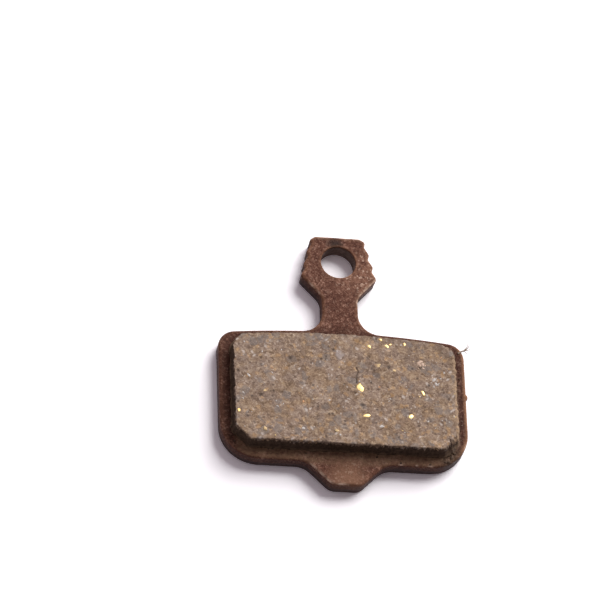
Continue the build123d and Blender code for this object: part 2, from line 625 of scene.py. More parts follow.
def mottle(tree, place, size, band):
    """Mask of the mottle group at a cloud size in millimetres."""
    sockets = {"Place": place, "Size": size * MM, "Band": band}
    return add(tree, "Group", sockets, node_tree=MOTTLE).outputs["Mask"]


def warped(tree, place, size, amount):
    """The coordinates pushed about by a soft cloud, by up to half the amount each way."""
    sockets = {"Vector": place, "Scale": 1 / (size * MM), "Detail": WARP_DETAIL}
    cloud = add(tree, "TexNoise", sockets).outputs["Color"]
    push = add(tree, "VectorMath", {0: cloud, 1: (0.5,) * 3}, operation="SUBTRACT").outputs[0]
    sockets = {0: push, 1: (amount * MM,) * 3, 2: place}
    return add(tree, "VectorMath", sockets, operation="MULTIPLY_ADD").outputs[0]


def palest(tree, grain, low, high):
    """The grains whose tone is past low, and fully those past high, without the gaps around them."""
    return times(tree, remap(tree, grain["Tone"], low, high), rest(tree, grain["Gap"]))


def patchy(tree, place, share, size, band, least):
    """A share that clouds of one size bring down to its least part."""
    return times(tree, share, remap(tree, mottle(tree, place, size, band), 0.0, 1.0, least, 1.0))


def spot(tree, place, centre, near, far, level=1.0):
    """A round patch about a centre: its level within the near distance, fading to 0 at the far one."""
    sockets = {0: place, 1: tuple(x * MM for x in centre)}
    gap = add(tree, "VectorMath", sockets, operation="DISTANCE").outputs["Value"]
    return remap(tree, gap, near * MM, far * MM, level, 0.0)


def bumped(tree, height, strength):
    """The normal that a height from 0 to 1 gives the surface."""
    sockets = {"Height": height, "Distance": BUMP_DISTANCE * MM, "Strength": strength}
    return add(tree, "Bump", sockets).outputs["Normal"]


print("effects ready")

# %% [markdown]
# The plate's finish.
# The steel is covered by a thin satin brown finish, and use has left something on all of it: darker clouds and
# pale grains everywhere, paler patches with warm flecks where the ear and the tab are held, the flecks partly
# painted glints, a smudge over the hole, and edges that are rubbed or knocked bare, their paler colour partly a
# painted highlight and painted glints on the rolled edge. A film of compound lies along the foot of the block,
# dark at the top and sides, where its darkness is also painted shade beside the block, and olive lower down, and
# the lower right corner is darker. The bore of the hole is bare steel, made paler as a painted sheen. An image
# could hold all this, but clouds and grains are the groups' work, and what follows the shape travels with the
# mesh as fields.

# %% Plate brown, grime and handling
BROWN_STOPS = [
    (0.14, (0.056, 0.021, 0.014)), (0.36, (0.094, 0.037, 0.024)),
    (0.60, (0.144, 0.063, 0.041)), (0.88, (0.340, 0.186, 0.132))]
# The film's dark colour next to the block is also painted shade beside it.
FILM_DARK, FILM_OLIVE = (0.040, 0.015, 0.0095), (0.262, 0.167, 0.098)
FILM_TOP, FILM_FOOT = -16.0, -25.0  # the film goes from dark to olive between these
FILM_SIDE, FILM_SIDE_FADE = 12.4, 1.0  # and stays dark further out than this
# A darker patch at the plate's lower right corner.
GRIME_DARK, GRIME_PALE = (0.030, 0.017, 0.011), (0.110, 0.068, 0.044)
GRIME_PLACE = (12.7, -25.6, SHEET_TOP)
PLATE_DUST = (0.390, 0.270, 0.185)
EAR_HELD, TAB_HELD = (2.4, -1.3, SHEET_TOP), (0.2, -28.6, SHEET_TOP)
EAR_TAN, TAB_TAN = (0.250, 0.124, 0.080), (0.250, 0.134, 0.079)
# Warm flecks, partly real and partly painted glints.
WARM_FLECK = (0.470, 0.310, 0.228)


def plate_brown(tree, place, cloud, blotch, fine):
    """Brown from dark to pale, by clouds of three sizes and by grains."""
    speck = grains(tree, warped(tree, place, size=0.15, amount=0.12), size=0.19)["Tone"]
    return ramp(tree, weighed(tree, (cloud, 0.22), (blotch, 0.14), (fine, 0.22), (speck, 0.42)), BROWN_STOPS)


def grimed(tree, place, colour, fine):
    """The colour under what the block left beside it: a film, dark at the top and sides, where the dark is also
    painted shade beside the block, and olive below, then a darker corner at the lower right, and dust."""
    x, y, _ = add(tree, "SeparateXYZ", {0: place}).outputs
    edges = (FILM_SIDE * MM, (FILM_SIDE + FILM_SIDE_FADE) * MM)
    off_sides = remap(tree, calc(tree, "ABSOLUTE", x), *edges, 1.0, 0.0)
    low_down = times(tree, remap(tree, y, FILM_TOP * MM, FILM_FOOT * MM), off_sides)
    # The film fades with distance from the block's foot: a film of compound that is also painted shade beside the
    # block.
    film = patchy(tree, place, field(tree, "film"), size=0.36, band=0.25, least=0.35)
    colour = mix(tree, film, colour, mix(tree, low_down, FILM_DARK, FILM_OLIVE))
    uneven = warped(tree, place, size=0.7, amount=0.8)
    grime = spot(tree, uneven, GRIME_PLACE, near=0.8, far=2.3, level=0.88)
    colour = mix(tree, grime, colour, mix(tree, fine, GRIME_DARK, GRIME_PALE))
    dust = patchy(tree, place, field(tree, "dust"), size=0.25, band=0.3, least=0.3)
    return mix(tree, dust, colour, PLATE_DUST)


def handled(tree, place, colour, cloud, blotch):
    """The colour with paler patches where the pad is held, and warm flecks there that are partly painted glints.
    """
    colour = mix(tree, spot(tree, place, TAB_HELD, near=0.5, far=3.2, level=0.65), colour, TAB_TAN)
    ear = spot(tree, place, EAR_HELD, near=0.8, far=4.4)
    held = calc(tree, "MAXIMUM", ear, spot(tree, place, TAB_HELD, near=0.6, far=3.4, level=0.4))
    colour = mix(tree, times(tree, held, blotch), colour, EAR_TAN)
    # Warm flecks where the pad is held, which are also painted glints.
    flake = grains(tree, warped(tree, place, size=0.24, amount=0.30), size=0.25)
    mostly_held = remap(tree, held, 0.0, 1.0, 0.20, 1.0)
    flecks = times(tree, palest(tree, flake, 0.84, 0.88), mostly_held, remap(tree, cloud, 0.1, 0.7, 0.6, 1.0))
    return mix(tree, flecks, colour, WARM_FLECK)


print("brown in", len(BROWN_STOPS), "stops")

# %% Plate finish
PLATE_CLOUDS = [(1.7, 0.2), (0.42, 0.22), (0.15, 0.18)]  # size and band: cloud, blotch, fine
SMUDGE_DARK, SMUDGE_PALE = (0.012, 0.006, 0.005), (0.046, 0.028, 0.024)
SMUDGE_PLACE = (-0.40, 2.50, SHEET_TOP)
# Rubbed and bare edges: worn paint, and also a painted highlight and painted glints on the rolled edge.
RUBBED_BROWN = (0.460, 0.240, 0.130)
BARE_STEEL = (0.900, 0.670, 0.510)
TORN_STEEL, TORN_SHARE = (0.104, 0.084, 0.085), 0.75
# The bore's pale grey is bare steel and also a painted sheen.
BORE_DARK, BORE_PALE = (0.150, 0.108, 0.094), (0.320, 0.240, 0.208)


def plate_finish():
    """Satin brown, with a film beside the block that is partly painted shade, a darker corner, handled patches
    with flecks that are partly painted glints, a smudge over the hole, rubbed and bare edges that are partly a
    painted highlight, a darker torn band and a bare bore with painted sheen."""
    material, tree, shader, place = start_material("plate_finish")
    cloud, blotch, fine = (mottle(tree, place, size, band) for size, band in PLATE_CLOUDS)
    colour = grimed(tree, place, plate_brown(tree, place, cloud, blotch, fine), fine)
    colour = handled(tree, place, colour, cloud, blotch)
    uneven = warped(tree, place, size=0.7, amount=0.9)
    smudge = spot(tree, uneven, SMUDGE_PLACE, near=0.3, far=1.4, level=0.92)
    colour = mix(tree, smudge, colour, mix(tree, fine, SMUDGE_DARK, SMUDGE_PALE))
    # Rubbed edge, also a painted highlight.
    worn = patchy(tree, place, field(tree, "rub"), size=0.9, band=0.3, least=0.5)
    colour = mix(tree, worn, colour, RUBBED_BROWN)
    # Bare metal at named places, also painted glints.
    bare = times(tree, field(tree, "bare"), remap(tree, fine, 0.1, 0.7, 0.55, 1.0))
    colour = mix(tree, bare, colour, BARE_STEEL)
    colour = mix(tree, times(tree, field(tree, "tear"), TORN_SHARE), colour, TORN_STEEL)
    # The bore, made paler as a painted sheen.
    colour = mix(tree, field(tree, "bore"), colour, mix(tree, blotch, BORE_DARK, BORE_PALE))
    height = calc(tree, "ADD", fine, times(tree, blotch, 0.5))
    feed(tree, shader, {
        "Base Color": colour, "Roughness": remap(tree, fine, 0.0, 1.0, 0.62, 0.46),
        "Specular IOR Level": 0.05, "Normal": bumped(tree, height, strength=0.9)})
    return material


PLATE_FINISH = plate_finish()
print("material", PLATE_FINISH.name)

# %% [markdown]
# The backing plate's rim.
# A blanking die leaves the same edge all round: the front rolls over, the upper wall is burnished by the punch,
# the lower wall is torn where the sheet broke away, and the back has a small break. A bevel could round the
# edge, but it couldn't tear the wall, so the rim is one profile carried along the outline.

# %% Plate rim
BACK_BREAK = 0.1
BREAK_MIDDLE = (0.35, 0.3)  # inset and height of the break's middle point, as shares of the break
ROLL_STEPS, WALL_STEPS = 7, 13
TEAR_TOP, TEAR_WAVE = 0.95, 0.18  # height of the line between the burnished and torn bands, and its wave
TEAR_FADE = 0.12
TEAR_RECESS, TEAR_ROUGHNESS = 0.035, 0.022
MARK_DEPTH, MARK_WIDTH, MARK_LENGTH = 0.006, 0.16, 2.5
WALL_FADE = 0.1
CUT_SHARE = 0.45  # how much of the torn band's grey the burnished band has
BURRS = [  # x, y, length, rise
    (14.75, -17.25, 0.62, 0.20), (-14.75, -20.5, 0.3, 0.05), (9.0, -26.8, 0.4, 0.04)]
BURR_FOOT, BURR_RUN, BURR_TOP_RUN = 0.9, 0.5, 0.15


def rim_stations(roll, break_size):
    """Inset and height of each profile point, front to back: a quarter circle, the wall, and the back's break."""
    turn = np.linspace(0, math.pi / 2, ROLL_STEPS)
    wall = np.linspace(SHEET_TOP - roll, break_size, WALL_STEPS)[1:]
    break_inset, break_height = (break_size * share for share in BREAK_MIDDLE)
    inset = np.concatenate([roll * (1 - np.sin(turn)), np.zeros(len(wall)), [break_inset, break_size]])
    height = np.concatenate([SHEET_TOP - roll * (1 - np.cos(turn)), wall, [break_height, 0.0]])
    return inset, height


def burr_height(path):
    """Small raised burrs on the outline: a rounded hump of given length and rise at each named place."""
    total = np.zeros(len(path))
    for x, y, length, rise in BURRS:
        total += rise * np.exp(-((np.linalg.norm(path - (x, y), axis=1) / (0.5 * length)) ** 4))
    return total


def rim_surface(path, normal, roll, break_size):
    """Points of the rim, and how torn each is: a profile point is moved in from the path by its inset, by upright
    draw marks on the wall and by the tear below a wavy line, and moved out by the burrs."""
    inset, height = rim_stations(roll, break_size)
    rows, columns = len(inset), len(path)
    travel = np.tile(np.arange(columns) * RIM_SPACING, rows)
    level = np.repeat(height, columns)
    line = TEAR_TOP + TEAR_WAVE * line_noise(travel, size=1.7, seed=11)
    torn = rising(line - level, 0, TEAR_FADE) * rising(level, 0, TEAR_FADE)
    marks = np.stack([travel / MARK_WIDTH, level / MARK_LENGTH], axis=1)
    marks = MARK_DEPTH * smooth_noise(marks, size=1.0, seed=12)
    rough = TEAR_ROUGHNESS * smooth_noise(np.stack([travel, level], axis=1), size=0.17, seed=13)
    on_wall = rising(level, SHEET_TOP - roll, -WALL_FADE) * rising(level, 0, WALL_FADE)
    depth = np.repeat(inset, columns) + on_wall * (marks * (1 - torn)) + torn * (TEAR_RECESS + rough)
    burr = np.tile(burr_height(path), rows)
    depth -= burr * rising(level, BURR_FOOT, BURR_RUN) * rising(level, SHEET_TOP, -BURR_TOP_RUN)
    across = np.tile(path, (rows, 1)) - np.tile(normal, (rows, 1)) * depth[:, None]
    return np.column_stack([across, level]), np.maximum(torn, CUT_SHARE * on_wall)


rim_points, rim_torn = rim_surface(rim_path, rim_normal, DIE_ROLL, BACK_BREAK)
rim_count = len(rim_path)
rim_rows = len(rim_points) // rim_count
print("rim of", rim_rows, "by", rim_count, "points")

# %% [markdown]
# The pin hole.
# The hole is punched, so it is the same profile on a circle. It runs the other way round, so that its wall faces
# the pin. Its edge is rolled only a little at the front, and the punch breaks out sharply at the back.

# %% Pin hole
HOLE_ROLL, HOLE_BREAK = 0.15, 0.02
HOLE_POINTS = 150
pin_hole = next(mount for mount in frame["record"]["mounts"] if mount["name"] == "pin_hole")
hole_turn = -2 * math.pi * np.arange(HOLE_POINTS) / HOLE_POINTS
hole_unit = np.stack([np.cos(hole_turn), np.sin(hole_turn)], axis=1)
hole_path = pin_hole["dims"]["r_mm"] * hole_unit
hole_points, hole_torn = rim_surface(hole_path, -hole_unit, HOLE_ROLL, HOLE_BREAK)
hole_rows = len(hole_points) // HOLE_POINTS
print("hole of", hole_rows, "by", HOLE_POINTS, "points")

# %% [markdown]
# The plate's faces.
# The front and the back are filled between the outline and the hole. The front also has loose points inside,
# so that it can be slightly uneven, as rolled and tumbled sheet is. One flat face would look like glass under a
# low light.

# %% Plate faces
INNER_SPACING, INNER_CLEAR, INNER_JITTER = 0.2, 0.12, 0.3
WAVE_HEIGHT, PEEL_HEIGHT = 0.004, 0.008
DENT_DEPTH, DENT_RADIUS, DENT_LEAST = 0.02, 0.22, 0.55  # cells with a value above the least have a dent


def loose_points(loops):
    """Points of a jittered square grid over the plate that keep clear of the loops around its face."""
    rng = np.random.default_rng(21)
    columns, rows = (np.arange(plate_low[axis], plate_high[axis], INNER_SPACING) for axis in (0, 1))
    points = np.stack(np.meshgrid(columns, rows), axis=-1).reshape(-1, 2)
    points = points + rng.uniform(-INNER_JITTER, INNER_JITTER, points.shape) * INNER_SPACING
    return points[distance_to(points, np.concatenate(loops)) > INNER_CLEAR]


def sheet_relief(points):
    """How far the front sits below its plane: a slow wave from rolling, a fine peel and a few shallow dents."""
    wave = WAVE_HEIGHT * (1 + smooth_noise(points, size=3.1, seed=31))
    peel = PEEL_HEIGHT * (1 + smooth_noise(points, size=0.5, seed=32))
    gap, value = nearest_grain(points, size=2.3, seed=33)
    return wave + peel + DENT_DEPTH * fading(gap, DENT_RADIUS) * (value > DENT_LEAST)


def face_triangles(loops, inner, numbers):
    """The filled face's triangles, by the numbers of its points in the piece, without those inside the hole,
    whose corners are all on the hole's loop or within it."""
    triangles = fill(loops, inner)
    radius = np.linalg.norm(np.concatenate([*loops, inner]), axis=1)
    hole_radius = np.linalg.norm(loops[1], axis=1).max()
    return numbers[triangles[radius[triangles].max(1) > hole_radius + LEVEL_TOLERANCE]]


front_loops = [rim_points[:rim_count, :2], hole_points[:HOLE_POINTS, :2]]
back_loops = [rim_points[-rim_count:, :2], hole_points[-HOLE_POINTS:, :2]]
inner_points = loose_points(front_loops)
inner_surface = np.column_stack([inner_points, SHEET_TOP - sheet_relief(inner_points)])
plate_points = np.concatenate([rim_points, hole_points, inner_surface])
rim_numbers, hole_numbers, inner_numbers = np.split(
    np.arange(len(plate_points)), np.cumsum([len(rim_points), len(hole_points)]))
front_numbers = np.concatenate([rim_numbers[:rim_count], hole_numbers[:HOLE_POINTS], inner_numbers])
back_numbers = np.concatenate([rim_numbers[-rim_count:], hole_numbers[-HOLE_POINTS:]])
front = face_triangles(front_loops, inner_points, front_numbers)
back = face_triangles(back_loops, np.empty((0, 2)), back_numbers)[:, ::-1]
print("front", len(front), "triangles, back", len(back))

# %% [markdown]
# The plate's wear.
# Wear follows the shape: the rolled edge is rubbed or bare, with a painted highlight and painted glints on it,
# the wall is torn, the bore is bare, with a painted sheen, and the film, partly painted shade, and the dust lie
# along the block. Painting these by hand would not follow a change of size, so each is a value per point, worked
# out from heights and distances. The material reads them by name.

# %% Plate wear
# The rubbed band also carries a painted highlight, and the bare band painted glints.
RUB_BAND, HOLE_RUB_BAND, BARE_BAND = (0.12, 0.2), (0.06, 0.12), (0.1, 0.11)  # depth, half width
RUB_LEAST, RUB_EAR, RUB_RIGHT, RUB_HOLE = 0.12, 0.25, 0.80, 0.35
NECK_FOOT = -10  # y between the ear and the body
BORE_RUN, BORE_SHARE = 0.15, 0.85
FILM_REACH, DUST_REACH = 1.9, 0.5
FRONT_DEPTH = 0.1
# Places of bare metal on the rolled edge, which are also painted glints.
BARE_PLACES = [  # x, y, size
    (4.35, -2.35, 0.35), (3.85, -2.92, 0.45), (3.25, -3.60, 0.45), (2.62, -4.30, 0.40), (2.20, -5.35, 0.42),
    (-3.40, -3.40, 0.40), (-2.60, -4.35, 0.25), (6.50, -26.65, 0.24), (10.0, -26.65, 0.28), (8.4, -26.65, 0.14),
    (3.50, 2.75, 0.30), (3.95, 0.60, 0.25), (4.40, -1.30, 0.30), (14.6, -24.0, 0.4), (-1.9, 3.4, 0.7),
    (0.9, 3.4, 0.5), (2.5, 3.4, 0.6), (-3.75, -27.4, 0.5), (-2.9, -28.4, 0.5), (-2.1, -29.3, 0.5),
    (-0.6, -29.65, 0.5)]


def rubbed(path):
    """How far the rolled edge is rubbed through along the outline, which is also a painted highlight: most on the
    right side, then on the ear.
    """
    x, y = path.T
    on_ear = rising(y, start=NECK_FOOT, run=2)
    on_right = rising(x, start=13.4, run=0.8) * (y < NECK_FOOT)
    return RUB_LEAST + RUB_EAR * on_ear + RUB_RIGHT * on_right


def bare_share(points):
    """Bare metal and painted glints: a bell curve of the distance from each named place, the largest of them all.
    """
    gaps = [np.linalg.norm(points - (x, y), axis=1) / size for x, y, size in BARE_PLACES]
    return np.exp(-np.min(gaps, axis=0) ** 2)


def banded(heights, depth, half_width):
    """1 at a depth below the plate's front, fading to 0 at the half width above it and below it."""
    return fading(np.abs(heights - (SHEET_TOP - depth)), half_width)


def plate_field(rim, hole):
    """A value for each of the plate's points, from those of the rim and of the hole. The inner points have 0."""
    rim, hole = np.broadcast_to(rim, len(rim_points)), np.broadcast_to(hole, len(hole_points))
    return np.concatenate([rim, hole, np.zeros(len(inner_points))])


rim_heights, hole_heights = rim_points[:, 2], hole_points[:, 2]
plate_x, plate_y, plate_z = plate_points.T
# Rubbed edge, also a painted highlight; bare places, also painted glints; the bore, made paler as a painted
# sheen.
rub = plate_field(
    banded(rim_heights, *RUB_BAND) * np.tile(rubbed(rim_path), rim_rows),
    RUB_HOLE * banded(hole_heights, *HOLE_RUB_BAND))
bare = plate_field(banded(rim_heights, *BARE_BAND), 0.0) * bare_share(plate_points[:, :2])
tear = plate_field(rim_torn, hole_torn)
bore = plate_field(0.0, BORE_SHARE * rising(hole_heights, SHEET_TOP - HOLE_ROLL, -BORE_RUN))
block_gap = distance_to(plate_points[:, :2], block_base[::2])
on_front = plate_z > SHEET_TOP - FRONT_DEPTH
# The film next to the block's foot, which is also painted shade beside the block.
film = np.sqrt(fading(block_gap, FILM_REACH)) * on_front
dust = fading(block_gap, DUST_REACH) * on_front * rising(plate_x, start=12.6, run=0.6)
dust *= rising(plate_y, start=-13.0, run=-3.0)
print("bare places", len(BARE_PLACES), "film on", np.count_nonzero(film), "points")

# %% Plate mesh
plate_quads = np.concatenate([
    grid_faces(rim_rows, rim_count, closed=True),
    grid_faces(hole_rows, HOLE_POINTS, start=len(rim_points), closed=True)])
plate = make_piece(
    "plate", plate_points, plate_quads, np.concatenate([front, back]), PLATE_FINISH, "plate_finish",
    rub=rub, bare=bare, tear=tear, bore=bore, film=film, dust=dust)
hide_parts("backing_plate")

# %% [markdown]
# The compound's look.
# Friction compound is a moulded mix: resin, mineral powder, fibres and metal chips, ground flat on its face.
# Seen close, it is a crowd of grains in tans, mauves and greys, with ochre spots, pale drawn-out flecks and
# larger grey lumps. Two sizes of the grains group make the crowd, clouds lean it to warm or dark, and specks
# finish it. Their coordinates are pushed about first, because real grains aren't round. A few large stones,
# painted shade in the pits and pores, the moulded walls and the dust, with a painted highlight along the block's
# right edge, come from the mesh's fields, so they lie exactly where the shape has them.

# %% Compound grains and flecks
GROUND_STOPS = [
    (0.08, (0.192, 0.132, 0.096)), (0.30, (0.265, 0.187, 0.139)), (0.50, (0.322, 0.230, 0.172)),
    (0.68, (0.379, 0.279, 0.210)), (0.86, (0.464, 0.354, 0.274)), (0.97, (0.592, 0.476, 0.390))]
COMPOUND_CLOUDS = [(1.6, 0.52, (1.04, 0.94, 0.70)), (2.8, 0.7, (0.78, 0.78, 0.79))]  # size, share and tint
CLOUD_BAND = 0.12
LUMP_GREY, OCHRE, GAP_BROWN = (0.225, 0.205, 0.195), (0.54, 0.308, 0.125), (0.100, 0.074, 0.062)
LUMP_SHARE, GAP_SHARE, FLECK_SHARE, DARK_SHARE = 0.45, 0.24, 0.72, 0.75
OCHRE_FADE = 0.04
FLECK_KINDS = [  # turn, size, radius, share
    (35, 0.70, 0.19, 0.22), (-55, 0.90, 0.17, 0.24), (100, 0.50, 0.16, 0.12)]
FLECK_STRETCH = 1.7
PALE_FLECK, DARK_SPECK = (0.62, 0.54, 0.475), (0.070, 0.056, 0.050)


def clouded(tree, place, colour):
    """The colour tinted warm in some clouds and darkened in broader ones."""
    for size, share, tint in COMPOUND_CLOUDS:
        cloud = times(tree, mottle(tree, place, size, CLOUD_BAND), share)
        colour = mix(tree, cloud, colour, tint, kind="MULTIPLY")
    return colour


def spotted(tree, colour, small, middle, patch, lump):
    """The colour with grey lumps, ochre spots of two sizes, and dark gaps between the small grains."""
    colour = mix(tree, times(tree, palest(tree, lump, 0.76, 0.84), LUMP_SHARE), colour, LUMP_GREY)
    for grain, low, share in ((patch, 0.915, 0.33), (middle, 0.92, 0.36)):
        ochre = times(tree, palest(tree, grain, low, low + OCHRE_FADE), share)
        colour = mix(tree, ochre, colour, OCHRE)
    return mix(tree, times(tree, small["Gap"], GAP_SHARE), colour, GAP_BROWN)


def turned(tree, place, angle, stretch):
    """The coordinates turned about the face's normal and shortened along one axis, which draws a pattern out."""
    sockets = {"Vector": place, "Rotation": (0.0, 0.0, math.radians(angle)), "Scale": (stretch, 1.0, 1.0)}
    return add(tree, "Mapping", sockets, vector_type="TEXTURE").outputs["Vector"]


def flecked(tree, uneven, colour):
    """The colour with pale flecks drawn out three ways, and a few dark specks."""
    for angle, size, radius, share in FLECK_KINDS:
        flecks = specks(tree, turned(tree, uneven, angle, FLECK_STRETCH), size, radius, share)
        colour = mix(tree, times(tree, flecks, FLECK_SHARE), colour, PALE_FLECK)
    dark = specks(tree, uneven, size=0.9, radius=0.17, share=0.17)
    return mix(tree, times(tree, dark, DARK_SHARE), colour, DARK_SPECK)


print("ground colour in", len(GROUND_STOPS), "stops")

# %% Compound material
STONE_COLOURS = [(0.8, (0.420, 0.350, 0.318)), (-0.8, (0.165, 0.140, 0.128))]  # of pale stones, of dark ones
# Painted shade in the pits and pores, which is darker where they are deeper.
PIT_BROWN = (0.050, 0.038, 0.032)
SKIN_DARK, SKIN_PALE = (0.030, 0.018, 0.012), (0.092, 0.058, 0.039)
# Pale dust, which on the block's right edge is also a painted highlight of the lit edge.
COMPOUND_DUST = (0.430, 0.290, 0.180)
COMPOUND_SIZES = (0.17, 0.40, 0.50, 1.0)  # of the small and middle grains, the ochre patches and the lumps


def marked(tree, place, colour, middle):
    """The colour with what the mesh's fields carry: large stones, painted shade in the pits and pores, the
    moulded skin, and dust, which on the right edge is also a painted highlight.
    """
    for share, stone in STONE_COLOURS:
        there = calc(tree, "MULTIPLY", field(tree, "stone"), share, limit=True)
        colour = mix(tree, there, colour, stone)
    # Painted shade in the pits and pores.
    colour = mix(tree, field(tree, "pit"), colour, PIT_BROWN)
    skin = mix(tree, mottle(tree, place, size=0.4, band=0.3), SKIN_DARK, SKIN_PALE)
    colour = mix(tree, field(tree, "skin"), colour, skin)
    # Dust, which on the right edge is also a painted highlight.
    dust = times(tree, field(tree, "dust"), remap(tree, middle["Tone"], 0.0, 0.6, 0.2, 0.8))
    return mix(tree, dust, colour, COMPOUND_DUST)


def compound_material():
    """Ground compound: a crowd of grains, tinted by clouds, with spots, lumps, flecks and the mesh's marks."""
    material, tree, shader, place = start_material("friction_compound")
    uneven = warped(tree, place, size=0.2, amount=0.22)
    small, middle, patch, lump = (grains(tree, uneven, size) for size in COMPOUND_SIZES)
    tone = weighed(tree, (small["Tone"], 0.52), (middle["Tone"], 0.48))
    colour = clouded(tree, place, ramp(tree, tone, GROUND_STOPS))
    colour = spotted(tree, colour, small, middle, patch, lump)
    colour = marked(tree, place, flecked(tree, uneven, colour), middle)
    height = calc(tree, "SUBTRACT", tone, times(tree, small["Gap"], 0.5))
    feed(tree, shader, {
        "Base Color": colour, "Roughness": remap(tree, tone, 0.2, 0.9, 0.92, 0.70),
        "Specular IOR Level": 0.08, "Normal": bumped(tree, height, strength=0.7)})
    return material


COMPOUND = compound_material()
print("material", COMPOUND.name)

# %% [markdown]
# The friction block's face.
# The face is a grid with two parameters: the share of the way along the bottom and top edges, and the share of
# the way from the one to the other. A filled outline would do for a flat face, but a grid has points everywhere
# for the relief, and its border is ready for the walls.

# %% Block face grid
FACE_COLUMNS, FACE_ROWS = 336, 170
SIDE_TOLERANCE = 0.004


def face_grid():
    """Points of the flat face: straight lines from each point of the bottom edge to the point at the same share
    of the top edge, cut into equal rows. The two edges are what lies between the outline's straight sides."""
    x, y = block_edge.T
    between_sides = np.abs(x) < x.max() - SIDE_TOLERANCE
    halves = (block_edge[between_sides & half] for half in (y < y.mean(), y > y.mean()))
    bottom, top = (stepped(half[np.argsort(half[:, 0])], FACE_COLUMNS) for half in halves)
    share = np.linspace(0, 1, FACE_ROWS)[:, None]
    return bottom[:, None] * (1 - share) + top[:, None] * share


face = face_grid()
face_shape = face.shape[:2]
flat = face.reshape(-1, 2)
flat_x, flat_y = flat.T
print("face grid", face_shape)

# %% [markdown]
# The face's relief.
# Grinding leaves the grains standing a little and tears some of them out, and one scratch runs down the middle.
# A bump in the material could fake that, but only relief in the mesh has its own small shadows in a low light.

# %% Block face relief
PITS = [  # x, y, size
    (1.8, -20.1, 0.30), (-6.6, -14.4, 0.26), (8.9, -14.75, 0.24), (-10.2, -19.5, 0.26), (5.1, -14.9, 0.24),
    (-1.42, -13.0, 0.22)]
PIT_DEPTH, PIT_UNEVEN = 0.10, 0.35
SMALL_PIT_DEPTH, SMALL_PIT_LEAST = 0.07, 0.72  # cells with a value above the least have a pit
SMALL_PIT_RADIUS, SMALL_PIT_SPREAD = 0.09, 0.10
RADIUS_SHUFFLE = 7.3  # makes a second random value out of a cell's own
SCRATCH_TOP, SCRATCH_END = np.array((1.34, -15.2)), np.array((1.30, -17.25))
SCRATCH_WIDTH, SCRATCH_DEPTH = 0.085, 0.15
SCRATCH_BEND, SCRATCH_WAVES = 0.12, 4
GRAIN_DOMES = [(0.24, 43, 0.028, 0.5), (0.62, 44, 0.024, 0.6)]  # size, seed, height, value of a flat grain
FACE_WAVES = [(2.6, 45, 0.008), (0.13, 46, 0.006)]  # size, seed, height: a slow wave and fine roughness


def pit_depth(points):
    """Depth of the torn-out grains: small bowls in some cells of a grain pattern, and larger ones, with an
    outline that noise makes uneven, at named places."""
    gap, value = nearest_grain(points, size=1.15, seed=41)
    radius = SMALL_PIT_RADIUS + SMALL_PIT_SPREAD * np.modf(value * RADIUS_SHUFFLE)[0]
    depth = SMALL_PIT_DEPTH * fading(gap, radius, power=2) * (value > SMALL_PIT_LEAST)
    uneven = 1 + PIT_UNEVEN * smooth_noise(points, size=0.2, seed=42)
    for x, y, size in PITS:
        gap = np.linalg.norm(points - (x, y), axis=1) * uneven
        depth = np.maximum(depth, PIT_DEPTH * fading(gap, size, power=2))
    return depth


def scratch_depth(points):
    """Depth of one scratch: a round groove along a line that noise bends sideways and makes uneven in depth."""
    run = SCRATCH_END - SCRATCH_TOP
    share = np.clip((points - SCRATCH_TOP) @ run / (run @ run), 0, 1)
    bend = SCRATCH_BEND * line_noise(share * SCRATCH_WAVES, size=1.0, seed=40)
    bend = np.stack([bend, 0 * share], axis=1)
    gap = np.linalg.norm(points - SCRATCH_TOP - share[:, None] * run - bend, axis=1)
    depth = SCRATCH_DEPTH * (0.75 + 0.25 * smooth_noise(points, size=0.3, seed=39))
    return depth * fading(gap, SCRATCH_WIDTH, power=2)


def face_relief(points):
    """Height of the ground face about its plane: domed grains of two sizes, higher or lower by their values, and
    the waves."""
    total = np.zeros(len(points))
    for size, seed, height, flat_value in GRAIN_DOMES:
        gap, value = nearest_grain(points, size, seed)
        total += height * (value - flat_value) * (1 - gap**2)
    for size, seed, height in FACE_WAVES:
        total += height * smooth_noise(points, size, seed)
    return total


pits = np.maximum(pit_depth(flat), scratch_depth(flat))
print("deepest pit", pits.max().round(3), "mm")

# %% [markdown]
# The block's crumbling edge.
# Compound crumbles where it meets the air, most at the two right corners. A bevel would round the edge evenly,
# so the outer band is worn round by a radius that noise decides, and the outline itself is pushed about.

# %% Block edge
BROKEN_CORNERS = [(12.4, -24.5, 1.0), (12.75, -12.35, 0.55)]  # x, y, share
EVEN_WEAR, BITE_WEAR, LOW_LEFT_WEAR, RIGHT_WEAR = 0.05, 0.26, 0.10, 0.20
BROKEN_WEAR, BROKEN_BITE_WEAR = 0.4, 0.8
BITE_LEAST, FINE_BITES = 0.1, 0.6
RAGGED, RAGGED_BROKEN, RAGGED_REACH = 0.10, 1.5, 0.7
TOP_RAGGED = 0.4  # share of the raggedness that is left along the top


def broken_share(points):
    """How broken the block is near its weak corners: the largest of a bell curve of the distance from each."""
    bells = [share * np.exp(-np.sum((points - (x, y)) ** 2, axis=1)) for x, y, share in BROKEN_CORNERS]
    return np.max(bells, axis=0)


def edge_wear(points):
    """Radius of the worn edge at each point: a small even rounding, bites where the noise runs high, and more at
    the lower left, along the right side and at the broken corners."""
    x, y = points.T
    bites = np.clip(smooth_noise(points, size=0.55, seed=47) - BITE_LEAST, 0, 1)
    bites = bites + FINE_BITES * np.clip(smooth_noise(points, size=0.22, seed=48), 0, 1)
    low_left = rising(y, start=-23.5, run=-1) * rising(x, start=4, run=-6)
    right = rising(x, start=12.2, run=0.5) * rising(y, start=-13.0, run=-2)
    wear = EVEN_WEAR + BITE_WEAR * bites + LOW_LEFT_WEAR * low_left + RIGHT_WEAR * right
    return wear + broken_share(points) * (BROKEN_WEAR + BROKEN_BITE_WEAR * bites)


